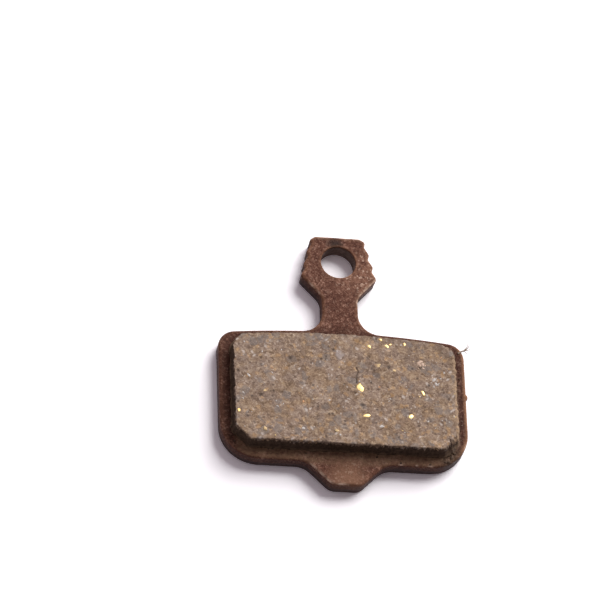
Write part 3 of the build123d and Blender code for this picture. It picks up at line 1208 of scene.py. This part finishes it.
def torn_edge(points):
    """A push in x and y at each point, each the sum of noise of two sizes."""
    pushes = [
        smooth_noise(points, size=0.36, seed=seed) + 0.5 * smooth_noise(points, size=0.19, seed=seed + 10)
        for seed in (49, 50)]
    return np.stack(pushes, axis=1)


border_gap = distance_to(flat, block_edge[::2]).reshape(face_shape)
border_gap[[0, -1]] = 0
border_gap[:, [0, -1]] = 0
border_gap = border_gap.ravel()
even_top = np.clip(1 - (flat[:, 1:] + 13.5) / 2, TOP_RAGGED, 1)
ragged = RAGGED * even_top * (1 + RAGGED_BROKEN * broken_share(flat)[:, None])
ragged = ragged * fading(border_gap, RAGGED_REACH)[:, None] * torn_edge(flat)
wear = edge_wear(flat)
inward = np.clip((wear - border_gap) / wear, 0, 1)
face_height = FACE_TOP - wear * (1 - np.sqrt(1 - inward**2)) - pits + face_relief(flat) * (1 - inward)
print("the edge is worn by", wear.min().round(2), "to", wear.max().round(2), "mm")

# %% [markdown]
# The block's walls.
# The mould leaves a rough skin on the walls. They are a profile carried along the grid's own border down to the
# plate, so that face and wall share their points and leave no seam. At the foot a bead spreads where the mould
# let a little compound out, and rubble lies at the broken corners.

# %% Block walls
WALL_RINGS = 17
SKIN_ROUGHNESS, FINE_SKIN = 0.02, 0.6
PORE_DEPTH, PORE_LEAST = 0.12, 0.45
FOOT_SPREAD, FOOT_HEIGHT = 0.30, 0.50
RUBBLE_SPREAD, RUBBLE_HEIGHT = 0.50, 0.90
FOOT_SMOOTHING = 0.6  # share of the skin's roughness that the foot hides
face_numbers = np.arange(len(flat)).reshape(face_shape)
border = np.concatenate(
    [face_numbers[:-1, 0], face_numbers[-1, :-1], face_numbers[:0:-1, -1], face_numbers[0, :0:-1]])
border_path = flat[border]
border_normal = outward(border_path)
border_broken = broken_share(border_path)
draft_run = (block_high - block_low)[0] / 2 - np.abs(border_path[:, 0]).max()


def wall_surface():
    """Rings from just under the face's border to the plate, with each point's pores and share of the foot: a ring
    moves out by the draft, the skin's roughness and, near the plate, the spread of the foot."""
    share = np.linspace(0, 1, WALL_RINGS + 1)[1:, None]
    top = face_height[border]
    level = top + (BASE_HEIGHT - top) * share
    spots = np.column_stack([np.tile(border_path, (WALL_RINGS, 1)), level.ravel()])
    skin = smooth_noise(spots, size=0.3, seed=51) + FINE_SKIN * smooth_noise(spots, size=0.13, seed=52)
    pores = np.clip(smooth_noise(spots, size=0.42, seed=53) - PORE_LEAST, 0, 1)
    foot_height = FOOT_HEIGHT + RUBBLE_HEIGHT * border_broken
    foot = np.clip((foot_height + BASE_HEIGHT - level) / foot_height, 0, 1) ** 2
    spread = FOOT_SPREAD * (0.5 + 0.5 * smooth_noise(border_path, size=0.8, seed=54))
    spread += RUBBLE_SPREAD * border_broken * (0.75 + 0.25 * smooth_noise(border_path, size=0.3, seed=57))
    rough = (SKIN_ROUGHNESS * skin - PORE_DEPTH * pores).reshape(level.shape)
    out = draft_run * share + spread * foot
    out += rising(share, start=0, run=0.1) * rough * (1 - FOOT_SMOOTHING * foot)
    across = border_path + border_normal * out[..., None] + ragged[border] * (1 - share)[..., None]
    return np.concatenate([across, level[..., None]], axis=-1).reshape(-1, 3), pores, foot.ravel()


wall_points, wall_pores, wall_foot = wall_surface()
wall_numbers = np.append(border, len(flat) + np.arange(len(wall_points))).reshape(WALL_RINGS + 1, -1)
wall_quads = wall_numbers.ravel()[grid_faces(WALL_RINGS + 1, len(border), closed=True)]
base_loop = wall_points[-len(border):, :2]
base_triangles = wall_numbers[-1][fill([base_loop], np.empty((0, 2)))][:, ::-1]
print("walls of", WALL_RINGS, "rings by", len(border), "points")

# %% [markdown]
# The block's marks.
# Painted shade for pits and pores, the dark skin, dust and a few large stones each become a field. The skin
# covers the walls up to an uneven line and comes over the edge where it is worn round. Dust lies along the foot,
# and on the right edge, where it is also a painted highlight of the lit edge.

# %% Block marks
STONES = [  # x, y, size, and a tone that is above 0 in a pale one
    (-0.69, -13.5, 0.62, 0.9), (3.6, -16.1, 0.55, -0.7), (-2.6, -20.6, 0.5, -0.7), (-6.4, -14.6, 0.6, -0.6)]
STONE_UNEVEN, STONE_FADE = 0.35, 0.25
# A pit's painted shade is full at this depth and at most this share; the pores' painted shade is their depth
# times a gain, held to its most.
DARK_PIT, PIT_MOST = 0.14, 0.9  # depth at which a pit is dark, and its largest share
PORE_GAIN, PORE_MOST = 3, 0.7
SKIN_FADE, SKIN_BROKEN, SKIN_OVER_EDGE = 0.06, 0.3, 0.5
TOP_LINE, TOP_LINE_MOST, DUST_LINE = 0.11, 0.8, 0.4
LINE_LEVEL = 1.2  # of a line at the border, before it is held to its most
FOOT_DUST = 0.5


def stone_share(points):
    """How much a point is in one of the larger stones of the mix: above 0 in a pale one, below 0 in a dark one.
    Each fills a circle whose edge noise has made uneven."""
    total = np.zeros(len(points))
    for x, y, size, tone in STONES:
        gap = np.linalg.norm(points - (x, y), axis=1) / size
        gap = gap + STONE_UNEVEN * smooth_noise(points, size=0.35, seed=38)
        total += tone * rising(gap, start=1, run=-STONE_FADE)
    return total


def edge_line(width, most):
    """A line along the face's border: its most at the border, then fading to 0 a little past the width."""
    return np.clip(LINE_LEVEL - border_gap / width, 0, most)


skin_line = 0.25 * smooth_noise(border_path, size=0.16, seed=55)
skin_line = np.clip(skin_line + 0.15 * smooth_noise(border_path, size=0.5, seed=56), 0, 1)
down_wall = np.linspace(SKIN_FADE, 1, WALL_RINGS)[:, None]
wall_skin = rising(down_wall, skin_line, SKIN_FADE) * (1 - SKIN_BROKEN * border_broken)
on_right = rising(flat_x, start=12.4, run=0.4) * rising(flat_y, start=-12.6, run=-1.5)
top_line = edge_line(TOP_LINE, TOP_LINE_MOST) * rising(flat_y, start=-13.0, run=0.8)
face_skin = np.maximum(SKIN_OVER_EDGE * inward**3 * (1 - on_right), top_line)
# Dust along the right edge, which is also a painted highlight of the lit edge.
face_dust = edge_line(DUST_LINE, 1) * on_right
# Painted shade in the pits, darker where they are deeper, and in the pores.
face_pits, pores = np.clip(pits / DARK_PIT, 0, PIT_MOST), np.clip(PORE_GAIN * wall_pores, 0, PORE_MOST)
print("skin on", np.count_nonzero(face_skin), "points of the face")

# %% Block mesh
block = make_piece(
    "compound_block", np.concatenate([np.column_stack([flat + ragged, face_height]), wall_points]),
    np.concatenate([grid_faces(*face_shape), wall_quads]), base_triangles, COMPOUND, "friction_compound",
    pit=np.concatenate([face_pits, pores]), skin=np.concatenate([face_skin, wall_skin.ravel()]),
    dust=np.concatenate([face_dust, FOOT_DUST * wall_foot]),
    stone=np.concatenate([stone_share(flat), np.zeros(len(wall_points))]))
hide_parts("friction_block")

# %% [markdown]
# Metal chips and pale grains.
# Bright and dull brass, copper and pale minerals are mixed into the compound, and grinding leaves them flush.
# They could be dots of colour, but metal has to shine as metal does. Each is a small domed flake with an uneven
# outline, tipped a little, and sunk so that only its crown shows. All flakes of a kind are made at once: rings
# of points from the middle out, for every flake in one array.

# %% Flake places
HALF_TURN = 180
CHIP_CLEAR = 0.3  # scattered chips keep this far from the edge
open_places = np.flatnonzero(border_gap > CHIP_CLEAR)


def flake_rows(rng, spots, length, slimmest, widest):
    """Rows of x, y, length, width and turn: the width is a random share of the length, and the turn is random."""
    width = length * rng.uniform(slimmest, widest, len(spots))
    return np.column_stack([spots, length, width, rng.uniform(0, HALF_TURN, len(spots))])


def scattered(count, smallest, largest, seed):
    """Rows of flakes scattered over the face, most of them near the smallest size."""
    rng = np.random.default_rng(seed)
    spots = flat[rng.choice(open_places, count, replace=False)]
    length = smallest + (largest - smallest) * rng.uniform(0, 1, count) ** 3
    return flake_rows(rng, spots, length, 0.45, 0.95)


def cluster(x, y, spread, count, seed):
    """Rows of a cluster of small grains, scattered about one place by a bell curve."""
    rng = np.random.default_rng(seed)
    length = rng.uniform(0.12, 0.34, count)
    spots = (x, y) + spread * rng.normal(size=(count, 2))
    return flake_rows(rng, spots, length, 0.4, 0.8)


print(len(open_places), "points of the face may hold a scattered chip")

# %% Flake shapes
FLAKE_SIDES = 11
FLAKE_RINGS = np.array([0.4, 0.75, 1.0])
FLAKE_UNEVEN = 0.2
FLAKE_SINK = 0.02
FLAKE_SPREAD = 1.22  # the rim is covered, so each flake is made larger than what shows
TIP_ANGLE = 0.10


def flake_points(rows, level, rise, seed):
    """Points of every flake from its row: rings stretched to the flake's length and width with an uneven outline,
    domed by one less the ring squared, tipped, turned and put in place."""
    rng = np.random.default_rng(seed)
    x, y, length, width, turn = rows.T[:, :, None, None]
    ring = FLAKE_RINGS[:, None]
    angle = 2 * math.pi * np.arange(FLAKE_SIDES) / FLAKE_SIDES
    uneven = 1 + FLAKE_UNEVEN * rng.uniform(-1, 1, (len(rows), 1, FLAKE_SIDES))
    along = 0.5 * (length * FLAKE_SPREAD) * ring * uneven * np.cos(angle)
    across = 0.5 * (width * FLAKE_SPREAD) * ring * uneven * np.sin(angle)
    tip = rng.uniform(-TIP_ANGLE, TIP_ANGLE, (2, len(rows), 1, 1))
    height = rise * (1 - ring**2) + tip[0] * along + tip[1] * across
    turn = np.radians(turn)
    rings = np.stack([
        x + along * np.cos(turn) - across * np.sin(turn),
        y + along * np.sin(turn) + across * np.cos(turn),
        level + height - FLAKE_SINK * ring**4], axis=-1)
    middle = np.concatenate([x, y], axis=-1)
    ends = [np.insert(middle, 2, end, axis=-1) for end in (level + rise, level - 2 * FLAKE_SINK)]
    return np.concatenate([rings.reshape(len(rows), -1, 3), *ends], axis=1).reshape(-1, 3)


def capped_tubes(count, rings, sides):
    """Faces of equal tubes, one after another: the bands between a tube's rings, and the fans that close its two
    ends, whose middles are the two points after its rings."""
    ring, last, size = np.arange(sides), (rings - 1) * sides, rings * sides + 2
    ahead = np.roll(ring, -1)
    start, end = np.full(sides, size - 2), np.full(sides, size - 1)
    fans = np.concatenate([
        np.stack([start, ring, ahead], axis=1), np.stack([end, last + ahead, last + ring], axis=1)])
    bands = grid_faces(rings, sides, closed=True)
    shift = size * np.arange(count)[:, None, None]
    return (bands + shift).reshape(-1, 4), (fans + shift).reshape(-1, 3)


flake_quads, flake_triangles = capped_tubes(1, len(FLAKE_RINGS), FLAKE_SIDES)
print("a flake has", len(flake_quads), "faces of four corners and", len(flake_triangles), "of three")

# %% [markdown]
# The chips' metals.
# Ground metal is bright where it was polished and duller in patches, so a cloud carries both its colour and its
# roughness. The pale grains are mineral, and peach-coloured in one cluster.

# %% Chip materials
PEACH_PLACE = (9.0, -14.3, FACE_TOP)
PALE_DARK, PALE_BRIGHT = (0.38, 0.34, 0.31), (0.64, 0.58, 0.53)
PEACH_DARK, PEACH_BRIGHT = (0.44, 0.30, 0.21), (0.70, 0.50, 0.38)
TARNISH_ROUGHNESS = 0.2


def metal(label, colour, dark, roughness):
    """A smeared metal chip: bright where the grinding polished it, duller in patches."""
    material, tree, shader, place = start_material(label)
    tarnish = mottle(tree, place, size=0.25, band=0.3)
    feed(tree, shader, {
        "Base Color": mix(tree, tarnish, colour, dark), "Metallic": 1.0,
        "Roughness": remap(tree, tarnish, 0.0, 1.0, roughness, roughness + TARNISH_ROUGHNESS)})
    return material


def pale_material():
    """A pale mineral grain, faintly clouded, and peach-coloured in one cluster."""
    material, tree, shader, place = start_material("pale_mineral")
    cloud = mottle(tree, place, size=0.2, band=0.3)
    pale, peach = (
        mix(tree, cloud, dark, bright)
        for dark, bright in ((PALE_DARK, PALE_BRIGHT), (PEACH_DARK, PEACH_BRIGHT)))
    colour = mix(tree, spot(tree, place, PEACH_PLACE, near=0.9, far=1.2), pale, peach)
    feed(tree, shader, {"Base Color": colour, "Roughness": 0.6})
    return material


BRASS = metal("brass", (0.82, 0.61, 0.30), (0.56, 0.38, 0.15), 0.42)
DULL_BRASS = metal("dull_brass", (0.50, 0.37, 0.22), (0.33, 0.24, 0.14), 0.66)
COPPER = metal("copper", (0.44, 0.25, 0.14), (0.30, 0.19, 0.12), 0.68)
PALE_MINERAL = pale_material()
print("materials", [made.name for made in (BRASS, DULL_BRASS, COPPER, PALE_MINERAL)])

# %% [markdown]
# The chips in the face.
# The large chips have places of their own, written as x, y, length, width and turn. The small ones are
# scattered, because nobody would miss one or know its place.

# %% Chips and grains
BRASS_PLACES = [
    (1.66, -17.93, 1.15, 0.72, 115), (2.31, -21.48, 0.85, 0.45, 5), (7.61, -21.28, 0.62, 0.52, 20),
    (9.11, -17.98, 0.85, 0.30, 112), (-12.85, -21.68, 0.42, 0.34, 90),
    (5.01, -12.08, 0.62, 0.38, 140), (5.45, -11.85, 0.34, 0.26, 30), (2.91, -12.28, 0.50, 0.36, 120),
    (7.16, -11.68, 0.44, 0.32, 110), (4.31, -11.28, 0.40, 0.28, 150)]
DULL_PLACES = [
    (3.91, -14.78, 0.66, 0.54, 60), (5.81, -15.28, 0.46, 0.36, 0), (-1.34, -23.68, 0.42, 0.36, 0),
    (-9.79, -23.78, 0.80, 0.46, 100), (-9.69, -18.88, 0.46, 0.36, 0)]
COPPER_PLACES = [(3.9, -17.6, 0.36, 0.24, 30), (-5.20, -20.10, 0.34, 0.26, 70)]
PALE_PLACES = np.concatenate([
    [(-1.00, -13.15, 0.36, 0.26, 20), (4.01, -22.78, 0.60, 0.40, 10), (-5.29, -23.58, 0.50, 0.38, 0),
     (-11.6, -17.0, 0.50, 0.24, 125), (8.75, -14.10, 0.55, 0.36, 40), (9.30, -14.30, 0.46, 0.32, 100),
     (9.05, -13.90, 0.40, 0.28, 10), (10.45, -16.35, 0.56, 0.36, 60), (10.75, -16.80, 0.46, 0.34, 120)],
    cluster(10.63, -16.56, spread=0.36, count=15, seed=57),
    cluster(*PEACH_PLACE[:2], spread=0.24, count=9, seed=58),
    cluster(-8.2, -20.6, spread=0.3, count=6, seed=59)])
SMALLEST_CHIP = 0.09
FLAKE_KINDS = [  # name, places, scattered count, largest of those, rise, material
    ("brass_chips", BRASS_PLACES, 14, 0.18, 0.034, BRASS),
    ("dull_chips", DULL_PLACES, 22, 0.22, 0.026, DULL_BRASS),
    ("copper_chips", COPPER_PLACES, 22, 0.26, 0.016, COPPER),
    ("pale_grains", PALE_PLACES, 90, 0.34, 0.020, PALE_MINERAL)]
for seed, (label, places, count, largest, rise, material) in enumerate(FLAKE_KINDS, start=61):
    rows = np.concatenate([places, scattered(count, SMALLEST_CHIP, largest, seed)])
    faces = capped_tubes(len(rows), len(FLAKE_RINGS), FLAKE_SIDES)
    make_piece(
        label, flake_points(rows, FACE_TOP, rise, seed + 10), *faces, material, "friction_compound")

# %% [markdown]
# Crumbs.
# Compound that breaks from the block's edges stays on the plate, most of it along the right side and at its two
# corners. Crumbs are the same flakes, taller, in the compound's own material, and stand on the plate's margins.
# Those lower down are darker.

# %% Crumbs
CRUMB_PLACES = [
    (12.63, -25.40, 0.62, 0.34, 75), (12.20, -26.05, 0.44, 0.30, 20), (11.82, -26.10, 0.32, 0.26, 0),
    (12.95, -24.90, 0.40, 0.26, 50), (6.50, -26.50, 0.26, 0.20, 10), (10.0, -26.48, 0.28, 0.20, 30),
    (13.25, -12.15, 0.46, 0.30, 130), (13.55, -12.75, 0.32, 0.22, 80), (12.90, -11.75, 0.36, 0.24, 150)]
CRUMB_COUNT = 46
CRUMB_REACH, CRUMB_TOP = 0.75, -11
CRUMB_RIGHT, CRUMB_ELSEWHERE = 11, 0.12  # x where the right side starts, and how likely a crumb is elsewhere
CRUMB_RISE = 0.11


def inside(points, path):
    """True for points inside a closed path: an odd number of its steps cross the point's level on its right."""
    ahead = np.roll(path, -1, axis=0)
    x, y = points[:, 0, None], points[:, 1, None]
    crosses = (path[:, 1] > y) != (ahead[:, 1] > y)
    rise = np.where(crosses, ahead[:, 1] - path[:, 1], 1)
    crossing = path[:, 0] + (y - path[:, 1]) * (ahead[:, 0] - path[:, 0]) / rise
    return (crosses & (x < crossing)).sum(1) % 2 == 1


def margin_crumbs():
    """Rows of crumbs on the plate's margins near the block, mostly on the right."""
    rng = np.random.default_rng(81)
    spots = inner_points[distance_to(inner_points, block_base[::2]) < CRUMB_REACH]
    spots = spots[~inside(spots, block_base) & (spots[:, 1] < CRUMB_TOP)]
    likely = np.where(spots[:, 0] > CRUMB_RIGHT, 1.0, CRUMB_ELSEWHERE)
    spots = spots[rng.choice(len(spots), CRUMB_COUNT, replace=False, p=likely / likely.sum())]
    length = 0.10 + 0.25 * rng.uniform(0, 1, CRUMB_COUNT) ** 2
    return flake_rows(rng, spots, length, 0.5, 0.9)


crumb_rows = np.concatenate([CRUMB_PLACES, margin_crumbs()])
crumb_points = flake_points(crumb_rows, SHEET_TOP, CRUMB_RISE, seed=82)
crumb_faces = capped_tubes(len(crumb_rows), len(FLAKE_RINGS), FLAKE_SIDES)
crumb_skin = np.clip((-22.0 - crumb_points[:, 1]) / 2, 0.2, 0.85)
make_piece("crumbs", crumb_points, *crumb_faces, COMPOUND, "friction_compound", skin=crumb_skin)

# %% [markdown]
# A stray fibre.
# One fibre of the mix has pulled out at the plate's upper right corner and frayed: a short stem with finer hairs
# that leave it. A hair could be a bare curve, but a tube that thins towards its free end has the right weight
# from near and far. Each strand is a circle carried along a bent path, and all strands together make one piece.

# %% Stray fibre
FIBRE_STRANDS = [  # radius, route
    (0.135, [(14.00, -11.50, 1.95), (14.45, -11.20, 2.06), (14.90, -11.05, 2.12), (15.25, -10.70, 2.16)]),
    (0.060, [(14.80, -11.08, 2.10), (15.12, -10.85, 2.18), (15.36, -10.52, 2.20), (15.46, -10.22, 2.16)]),
    (0.055, [(14.70, -11.10, 2.10), (14.98, -10.84, 2.22), (15.16, -10.52, 2.28), (15.20, -10.20, 2.26)]),
    (0.055, [(14.75, -11.10, 2.08), (15.10, -11.04, 2.08), (15.38, -10.92, 2.04), (15.58, -10.70, 2.00)]),
    (0.050, [(14.60, -11.14, 2.06), (14.86, -11.20, 2.02), (15.08, -11.34, 1.96), (15.22, -11.40, 1.90)])]
FIBRE_STEPS, FIBRE_SIDES = 22, 8
FIBRE_TAPER = 0.65
BEND_KERNEL = np.array([1, 2, 3, 2, 1]) / 9
FIBRE_DARK, FIBRE_PALE = (0.200, 0.142, 0.098), (0.430, 0.330, 0.240)


def smooth_path(route, steps):
    """Even steps along straight runs between the route's points, averaged with their neighbours to round the
    bends."""
    share, spans = np.linspace(0, 1, steps), np.linspace(0, 1, len(route))
    path = np.stack([np.interp(share, spans, axis) for axis in np.transpose(route)], axis=1)
    reach = len(BEND_KERNEL) // 2
    padded = np.pad(path, ((reach, reach), (0, 0)), mode="edge")
    return np.stack([np.convolve(axis, BEND_KERNEL, mode="valid") for axis in padded.T], axis=1)


def strand_points(radius, route):
    """A tube: rings square to the path, thinning by the taper's share, then the middles of its two ends."""
    path = smooth_path(route, FIBRE_STEPS)
    ahead = np.gradient(path, axis=0)
    side = np.cross(ahead, (0, 0, 1.0))
    over = np.cross(side, ahead)
    side, over = (axis / np.linalg.norm(axis, axis=1, keepdims=True) for axis in (side, over))
    turn = 2 * math.pi * np.arange(FIBRE_SIDES) / FIBRE_SIDES
    around = np.cos(turn)[:, None] * side[:, None] + np.sin(turn)[:, None] * over[:, None]
    width = radius * (1 - FIBRE_TAPER * np.linspace(0, 1, FIBRE_STEPS))
    rings = path[:, None] + width[:, None, None] * around
    return np.concatenate([rings.reshape(-1, 3), path[:1], path[-1:]])


def fibre_material():
    """Drab fibre, lighter and darker along its length."""
    material, tree, shader, place = start_material("fibre")
    colour = mix(tree, mottle(tree, place, size=0.3, band=0.3), FIBRE_DARK, FIBRE_PALE)
    feed(tree, shader, {"Base Color": colour, "Roughness": 0.75})
    return material


fibre_points = np.concatenate([strand_points(radius, route) for radius, route in FIBRE_STRANDS])
fibre_faces = capped_tubes(len(FIBRE_STRANDS), FIBRE_STEPS, FIBRE_SIDES)
make_piece("fibre", fibre_points, *fibre_faces, fibre_material(), "friction_compound")
